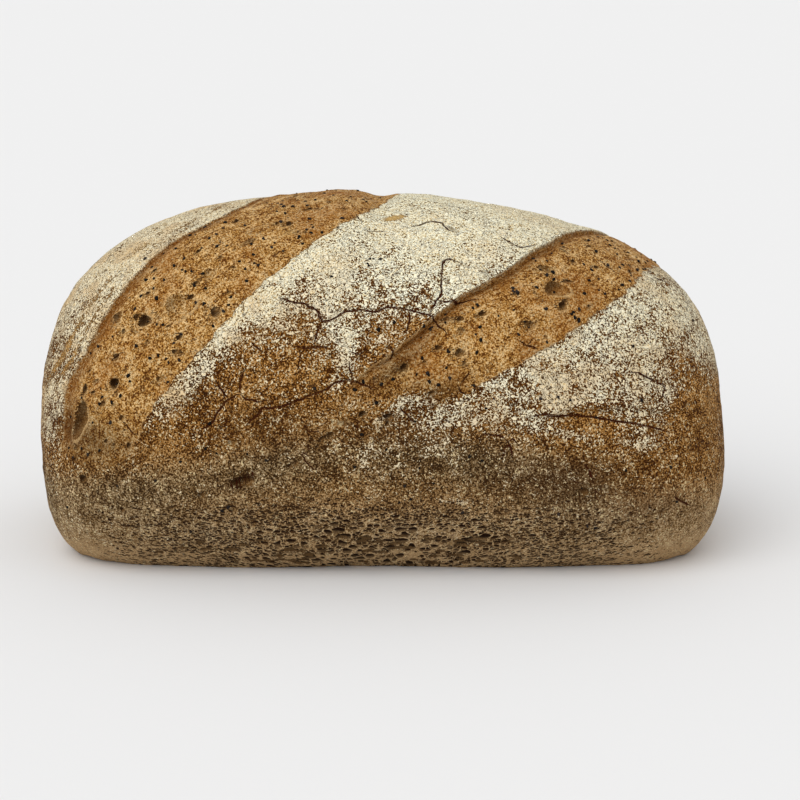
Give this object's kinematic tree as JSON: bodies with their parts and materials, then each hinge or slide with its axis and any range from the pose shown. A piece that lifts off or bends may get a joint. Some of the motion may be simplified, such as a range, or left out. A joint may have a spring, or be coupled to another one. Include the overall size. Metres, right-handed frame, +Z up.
{
  "type": "poppy seed bread",
  "caption": "Whole hearth-baked bread with diagonal opened scores, floured crust and poppy seeds, resting on its flat base.",
  "frame": {"origin": "middle of the flat base, on the surface the bread stands on", "axes": "+X along the bread, to the right as the picture shows it; +Y to the back; +Z up"},
  "size_m": [0.2338, 0.1355, 0.1202],
  "materials": {
    "crust": "matte, dry baked crust, golden brown, dusted with cream flour and dotted with blue-black poppy seeds"
  },
  "bodies": {
    "root": {"loaf": "crust"}
  },
  "joints": []
}
